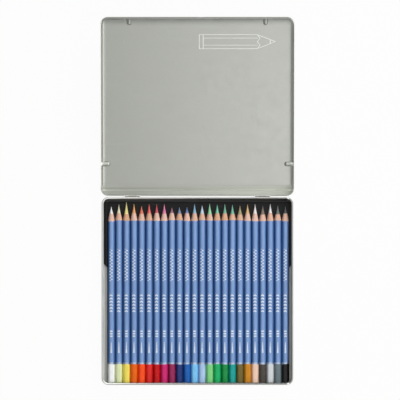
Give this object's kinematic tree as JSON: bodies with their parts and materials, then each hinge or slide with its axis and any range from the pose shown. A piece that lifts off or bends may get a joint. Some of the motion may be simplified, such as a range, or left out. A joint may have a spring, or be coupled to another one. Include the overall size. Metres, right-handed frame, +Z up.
{
  "type": "coloured pencil tin",
  "caption": "Flat tinplate box with a hinged slip lid, shown open, holding a ribbed plastic tray and a row of sharpened hexagonal coloured pencils.",
  "frame": {"origin": "centre of the underside of the base pan", "axes": "+Z up, +Y from the front of the tin to its hinge and the open lid, +X to the right; the pencils lie along Y"},
  "size_m": [0.1932, 0.3673, 0.0762],
  "materials": {
    "tinplate": "satin",
    "hinge_wire": "satin",
    "tray_plastic": "matte",
    "pencil_lacquer": "gloss",
    "core_white": "matte",
    "core_cream": "matte",
    "core_yellow": "matte",
    "core_orange": "matte",
    "core_vermilion": "matte",
    "core_red": "matte",
    "core_crimson": "matte",
    "core_magenta": "matte",
    "core_purple": "matte",
    "core_indigo": "matte",
    "core_ultramarine": "matte",
    "core_sky_blue": "matte",
    "core_pale_blue": "matte",
    "core_light_green": "matte",
    "core_green": "matte",
    "core_dark_green": "matte",
    "core_teal": "matte",
    "core_olive": "matte",
    "core_ochre": "matte",
    "core_pink": "matte",
    "core_sepia": "matte",
    "core_light_grey": "matte",
    "core_slate_grey": "matte",
    "core_black": "matte"
  },
  "bodies": {
    "base": {"base_pan": "tinplate", "pencil_tray": "tray_plastic", "hinge_pin_left": "hinge_wire", "hinge_pin_right": "hinge_wire"},
    "lid": {"lid_pan": "tinplate"},
    "pencil_01": {"pencil_01_casing": "pencil_lacquer", "pencil_01_core": "core_white"},
    "pencil_02": {"pencil_02_casing": "pencil_lacquer", "pencil_02_core": "core_cream"},
    "pencil_03": {"pencil_03_casing": "pencil_lacquer", "pencil_03_core": "core_yellow"},
    "pencil_04": {"pencil_04_casing": "pencil_lacquer", "pencil_04_core": "core_orange"},
    "pencil_05": {"pencil_05_casing": "pencil_lacquer", "pencil_05_core": "core_vermilion"},
    "pencil_06": {"pencil_06_casing": "pencil_lacquer", "pencil_06_core": "core_red"},
    "pencil_07": {"pencil_07_casing": "pencil_lacquer", "pencil_07_core": "core_crimson"},
    "pencil_08": {"pencil_08_casing": "pencil_lacquer", "pencil_08_core": "core_magenta"},
    "pencil_09": {"pencil_09_casing": "pencil_lacquer", "pencil_09_core": "core_purple"},
    "pencil_10": {"pencil_10_casing": "pencil_lacquer", "pencil_10_core": "core_indigo"},
    "pencil_11": {"pencil_11_casing": "pencil_lacquer", "pencil_11_core": "core_ultramarine"},
    "pencil_12": {"pencil_12_casing": "pencil_lacquer", "pencil_12_core": "core_sky_blue"},
    "pencil_13": {"pencil_13_casing": "pencil_lacquer", "pencil_13_core": "core_pale_blue"},
    "pencil_14": {"pencil_14_casing": "pencil_lacquer", "pencil_14_core": "core_light_green"},
    "pencil_15": {"pencil_15_casing": "pencil_lacquer", "pencil_15_core": "core_green"},
    "pencil_16": {"pencil_16_casing": "pencil_lacquer", "pencil_16_core": "core_dark_green"},
    "pencil_17": {"pencil_17_casing": "pencil_lacquer", "pencil_17_core": "core_teal"},
    "pencil_18": {"pencil_18_casing": "pencil_lacquer", "pencil_18_core": "core_olive"},
    "pencil_19": {"pencil_19_casing": "pencil_lacquer", "pencil_19_core": "core_ochre"},
    "pencil_20": {"pencil_20_casing": "pencil_lacquer", "pencil_20_core": "core_pink"},
    "pencil_21": {"pencil_21_casing": "pencil_lacquer", "pencil_21_core": "core_sepia"},
    "pencil_22": {"pencil_22_casing": "pencil_lacquer", "pencil_22_core": "core_light_grey"},
    "pencil_23": {"pencil_23_casing": "pencil_lacquer", "pencil_23_core": "core_slate_grey"},
    "pencil_24": {"pencil_24_casing": "pencil_lacquer", "pencil_24_core": "core_black"}
  },
  "joints": [
    {"name": "lid_hinge", "type": "hinge", "parent": "base", "child": "lid", "pos_m": [0, 0.095, 0.0078], "axis": [-1, 0, 0], "range_deg": [-159, 0]},
    {"name": "pencil_01_lift", "type": "slide", "parent": "base", "child": "pencil_01", "axis": [0, 0, 1], "range_m": [0, 0.04]},
    {"name": "pencil_02_lift", "type": "slide", "parent": "base", "child": "pencil_02", "axis": [0, 0, 1], "range_m": [0, 0.04]},
    {"name": "pencil_03_lift", "type": "slide", "parent": "base", "child": "pencil_03", "axis": [0, 0, 1], "range_m": [0, 0.04]},
    {"name": "pencil_04_lift", "type": "slide", "parent": "base", "child": "pencil_04", "axis": [0, 0, 1], "range_m": [0, 0.04]},
    {"name": "pencil_05_lift", "type": "slide", "parent": "base", "child": "pencil_05", "axis": [0, 0, 1], "range_m": [0, 0.04]},
    {"name": "pencil_06_lift", "type": "slide", "parent": "base", "child": "pencil_06", "axis": [0, 0, 1], "range_m": [0, 0.04]},
    {"name": "pencil_07_lift", "type": "slide", "parent": "base", "child": "pencil_07", "axis": [0, 0, 1], "range_m": [0, 0.04]},
    {"name": "pencil_08_lift", "type": "slide", "parent": "base", "child": "pencil_08", "axis": [0, 0, 1], "range_m": [0, 0.04]},
    {"name": "pencil_09_lift", "type": "slide", "parent": "base", "child": "pencil_09", "axis": [0, 0, 1], "range_m": [0, 0.04]},
    {"name": "pencil_10_lift", "type": "slide", "parent": "base", "child": "pencil_10", "axis": [0, 0, 1], "range_m": [0, 0.04]},
    {"name": "pencil_11_lift", "type": "slide", "parent": "base", "child": "pencil_11", "axis": [0, 0, 1], "range_m": [0, 0.04]},
    {"name": "pencil_12_lift", "type": "slide", "parent": "base", "child": "pencil_12", "axis": [0, 0, 1], "range_m": [0, 0.04]},
    {"name": "pencil_13_lift", "type": "slide", "parent": "base", "child": "pencil_13", "axis": [0, 0, 1], "range_m": [0, 0.04]},
    {"name": "pencil_14_lift", "type": "slide", "parent": "base", "child": "pencil_14", "axis": [0, 0, 1], "range_m": [0, 0.04]},
    {"name": "pencil_15_lift", "type": "slide", "parent": "base", "child": "pencil_15", "axis": [0, 0, 1], "range_m": [0, 0.04]},
    {"name": "pencil_16_lift", "type": "slide", "parent": "base", "child": "pencil_16", "axis": [0, 0, 1], "range_m": [0, 0.04]},
    {"name": "pencil_17_lift", "type": "slide", "parent": "base", "child": "pencil_17", "axis": [0, 0, 1], "range_m": [0, 0.04]},
    {"name": "pencil_18_lift", "type": "slide", "parent": "base", "child": "pencil_18", "axis": [0, 0, 1], "range_m": [0, 0.04]},
    {"name": "pencil_19_lift", "type": "slide", "parent": "base", "child": "pencil_19", "axis": [0, 0, 1], "range_m": [0, 0.04]},
    {"name": "pencil_20_lift", "type": "slide", "parent": "base", "child": "pencil_20", "axis": [0, 0, 1], "range_m": [0, 0.04]},
    {"name": "pencil_21_lift", "type": "slide", "parent": "base", "child": "pencil_21", "axis": [0, 0, 1], "range_m": [0, 0.04]},
    {"name": "pencil_22_lift", "type": "slide", "parent": "base", "child": "pencil_22", "axis": [0, 0, 1], "range_m": [0, 0.04]},
    {"name": "pencil_23_lift", "type": "slide", "parent": "base", "child": "pencil_23", "axis": [0, 0, 1], "range_m": [0, 0.04]},
    {"name": "pencil_24_lift", "type": "slide", "parent": "base", "child": "pencil_24", "axis": [0, 0, 1], "range_m": [0, 0.04]}
  ]
}
